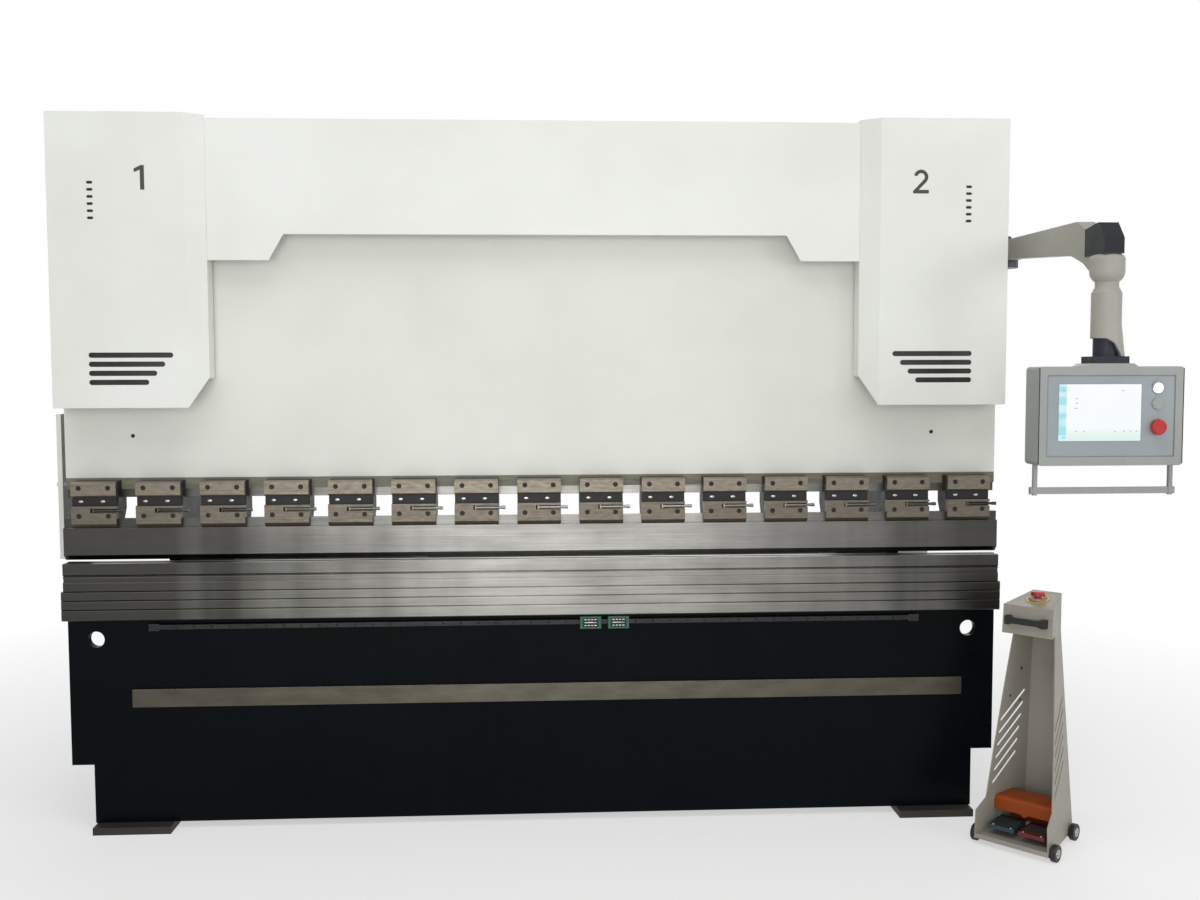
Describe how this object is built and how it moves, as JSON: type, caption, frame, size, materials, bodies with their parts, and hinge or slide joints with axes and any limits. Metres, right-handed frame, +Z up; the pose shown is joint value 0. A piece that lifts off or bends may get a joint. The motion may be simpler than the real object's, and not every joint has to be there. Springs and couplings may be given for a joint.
{
  "type": "hydraulic press brake",
  "caption": "Press brake with C-shaped side frames, a sliding ram with quick clamps and punch, a crowned die table, a swing-arm pendant and a foot-pedal console.",
  "frame": {"origin": "centre of the four floor-anchor holes, at floor level", "axes": "+X along the bending line to the operator's right, +Y from the operator to the rear, +Z up"},
  "size_m": [3.5735, 1.9155, 2.404],
  "materials": {
    "off_white_paint": "semi-gloss powder coat with fine orange peel",
    "dark_paint": "near-black navy semi-gloss paint",
    "foot_steel": "dark brown primed steel",
    "ground_steel": "ground",
    "rail_steel": "polished rail",
    "tool_steel": "ground and hardened",
    "clamp_steel": "ground",
    "black_steel": "blackened",
    "cylinder_steel": "satin",
    "chrome": "polished",
    "aluminium": "satin",
    "motor_paint": "satin",
    "cabinet_paint": "satin",
    "cap_paint": "satin",
    "pendant_paint": "satin",
    "console_paint": "satin",
    "black_plastic": "matt",
    "carriage_plastic": "satin",
    "orange_paint": "semi-gloss",
    "green_paint": "satin",
    "red_paint": "satin",
    "red_plastic": "gloss"
  },
  "bodies": {
    "machine": {"left_side_frame": "dark_paint", "right_side_frame": "dark_paint", "foot_plates": "foot_steel", "bed_front_plate": "dark_paint", "bed_core": "dark_paint", "front_bar": "ground_steel", "front_rail": "rail_steel", "crowning_base": "tool_steel", "crowning_lower_wedge": "tool_steel", "crowning_upper_wedge": "tool_steel", "die_holder": "tool_steel", "die_block": "tool_steel", "left_cover": "off_white_paint", "right_cover": "off_white_paint", "header_panel": "off_white_paint", "cylinders": "cylinder_steel", "ram_guides": "cylinder_steel", "top_tie_plate": "dark_paint", "oil_tank": "off_white_paint", "pump_motor": "motor_paint", "backgauge_supports": "dark_paint", "backgauge_beam": "aluminium", "electrical_cabinet": "cabinet_paint", "rear_guard": "off_white_paint", "pendant_support": "cap_paint", "guard_post": "cap_paint", "console_body": "console_paint", "console_fittings": "black_plastic", "pedal_hood": "orange_paint"},
    "ram": {"ram_plate": "off_white_paint", "ram_tool_bar": "ground_steel", "cylinder_rods": "chrome", "clamp_bodies": "clamp_steel", "clamp_plates": "clamp_steel", "clamp_inserts": "black_steel", "punch": "ground_steel"},
    "pendant_box": {"pendant_box": "pendant_paint"},
    "left_carriage": {"left_carriage": "carriage_plastic"},
    "right_carriage": {"right_carriage": "carriage_plastic"},
    "side_guard": {"side_guard": "off_white_paint"},
    "pendant_arm": {"pendant_arm": "pendant_paint"},
    "pendant_estop": {"pendant_estop": "red_plastic"},
    "console_estop": {"console_estop": "red_plastic"},
    "left_pedal": {"left_pedal": "green_paint"},
    "right_pedal": {"right_pedal": "red_paint"},
    "clamp_lever_01": {"clamp_lever_01": "ground_steel"},
    "clamp_lever_02": {"clamp_lever_02": "ground_steel"},
    "clamp_lever_03": {"clamp_lever_03": "ground_steel"},
    "clamp_lever_04": {"clamp_lever_04": "ground_steel"},
    "clamp_lever_05": {"clamp_lever_05": "ground_steel"},
    "clamp_lever_06": {"clamp_lever_06": "ground_steel"},
    "clamp_lever_07": {"clamp_lever_07": "ground_steel"},
    "clamp_lever_08": {"clamp_lever_08": "ground_steel"},
    "clamp_lever_09": {"clamp_lever_09": "ground_steel"},
    "clamp_lever_10": {"clamp_lever_10": "ground_steel"},
    "clamp_lever_11": {"clamp_lever_11": "ground_steel"},
    "clamp_lever_12": {"clamp_lever_12": "ground_steel"},
    "clamp_lever_13": {"clamp_lever_13": "ground_steel"},
    "clamp_lever_14": {"clamp_lever_14": "ground_steel"},
    "clamp_lever_15": {"clamp_lever_15": "ground_steel"}
  },
  "joints": [
    {"name": "ram_slide", "type": "slide", "parent": "machine", "child": "ram", "axis": [0, 0, 1], "range_m": [-0.017, 0.14]},
    {"name": "clamp_lever_01_turn", "type": "hinge", "parent": "ram", "child": "clamp_lever_01", "pos_m": [-1.487, -0.6535, 1.103], "axis": [0, 0, -1], "range_deg": [0, 90]},
    {"name": "clamp_lever_02_turn", "type": "hinge", "parent": "ram", "child": "clamp_lever_02", "pos_m": [-1.275, -0.6535, 1.103], "axis": [0, 0, -1], "range_deg": [0, 90]},
    {"name": "clamp_lever_03_turn", "type": "hinge", "parent": "ram", "child": "clamp_lever_03", "pos_m": [-1.063, -0.6535, 1.103], "axis": [0, 0, -1], "range_deg": [0, 90]},
    {"name": "clamp_lever_04_turn", "type": "hinge", "parent": "ram", "child": "clamp_lever_04", "pos_m": [-0.851, -0.6535, 1.103], "axis": [0, 0, -1], "range_deg": [0, 90]},
    {"name": "clamp_lever_05_turn", "type": "hinge", "parent": "ram", "child": "clamp_lever_05", "pos_m": [-0.639, -0.6535, 1.103], "axis": [0, 0, -1], "range_deg": [0, 90]},
    {"name": "clamp_lever_06_turn", "type": "hinge", "parent": "ram", "child": "clamp_lever_06", "pos_m": [-0.427, -0.6535, 1.103], "axis": [0, 0, -1], "range_deg": [0, 90]},
    {"name": "clamp_lever_07_turn", "type": "hinge", "parent": "ram", "child": "clamp_lever_07", "pos_m": [-0.215, -0.6535, 1.103], "axis": [0, 0, -1], "range_deg": [0, 90]},
    {"name": "clamp_lever_08_turn", "type": "hinge", "parent": "ram", "child": "clamp_lever_08", "pos_m": [-0.003, -0.6535, 1.103], "axis": [0, 0, -1], "range_deg": [0, 90]},
    {"name": "clamp_lever_09_turn", "type": "hinge", "parent": "ram", "child": "clamp_lever_09", "pos_m": [0.209, -0.6535, 1.103], "axis": [0, 0, -1], "range_deg": [0, 90]},
    {"name": "clamp_lever_10_turn", "type": "hinge", "parent": "ram", "child": "clamp_lever_10", "pos_m": [0.421, -0.6535, 1.103], "axis": [0, 0, -1], "range_deg": [0, 90]},
    {"name": "clamp_lever_11_turn", "type": "hinge", "parent": "ram", "child": "clamp_lever_11", "pos_m": [0.633, -0.6535, 1.103], "axis": [0, 0, -1], "range_deg": [0, 90]},
    {"name": "clamp_lever_12_turn", "type": "hinge", "parent": "ram", "child": "clamp_lever_12", "pos_m": [0.845, -0.6535, 1.103], "axis": [0, 0, -1], "range_deg": [0, 90]},
    {"name": "clamp_lever_13_turn", "type": "hinge", "parent": "ram", "child": "clamp_lever_13", "pos_m": [1.057, -0.6535, 1.103], "axis": [0, 0, -1], "range_deg": [0, 90]},
    {"name": "clamp_lever_14_turn", "type": "hinge", "parent": "ram", "child": "clamp_lever_14", "pos_m": [1.269, -0.6535, 1.103], "axis": [0, 0, -1], "range_deg": [0, 90]},
    {"name": "clamp_lever_15_turn", "type": "hinge", "parent": "ram", "child": "clamp_lever_15", "pos_m": [1.481, -0.6535, 1.103], "axis": [0, 0, -1], "range_deg": [0, 90]},
    {"name": "left_carriage_slide", "type": "slide", "parent": "machine", "child": "left_carriage", "axis": [1, 0, 0], "range_m": [-1.4, 0.009]},
    {"name": "right_carriage_slide", "type": "slide", "parent": "machine", "child": "right_carriage", "axis": [1, 0, 0], "range_m": [-0.009, 0.97]},
    {"name": "side_guard_swing", "type": "hinge", "parent": "machine", "child": "side_guard", "pos_m": [-1.637, -0.3, 1.17], "axis": [0, 0, -1], "range_deg": [0, 100]},
    {"name": "pendant_arm_swing", "type": "hinge", "parent": "machine", "child": "pendant_arm", "pos_m": [1.695, -0.41, 1.99], "axis": [0, 0, 1], "range_deg": [0, 80]},
    {"name": "pendant_box_turn", "type": "hinge", "parent": "pendant_arm", "child": "pendant_box", "pos_m": [1.695, -1.2, 1.603], "axis": [0, 0, 1], "range_deg": [-60, 60]},
    {"name": "pendant_estop_push", "type": "slide", "parent": "pendant_box", "child": "pendant_estop", "axis": [0, 1, 0], "range_m": [0, 0.004], "stiffness_N_per_m": 1500},
    {"name": "console_estop_push", "type": "slide", "parent": "machine", "child": "console_estop", "axis": [0, 0, -1], "range_m": [0, 0.004], "stiffness_N_per_m": 1500, "springref_m": -0.002},
    {"name": "left_pedal_tilt", "type": "hinge", "parent": "machine", "child": "left_pedal", "pos_m": [1.582, -0.86501, 0.06], "axis": [0.6884, -0.7254, 0], "range_deg": [0, 8], "stiffness_Nm_per_rad": 12, "springref_deg": -6.88},
    {"name": "right_pedal_tilt", "type": "hinge", "parent": "machine", "child": "right_pedal", "pos_m": [1.65221, -0.939, 0.06], "axis": [0.6884, -0.7254, 0], "range_deg": [0, 8], "stiffness_Nm_per_rad": 12, "springref_deg": -6.88}
  ]
}
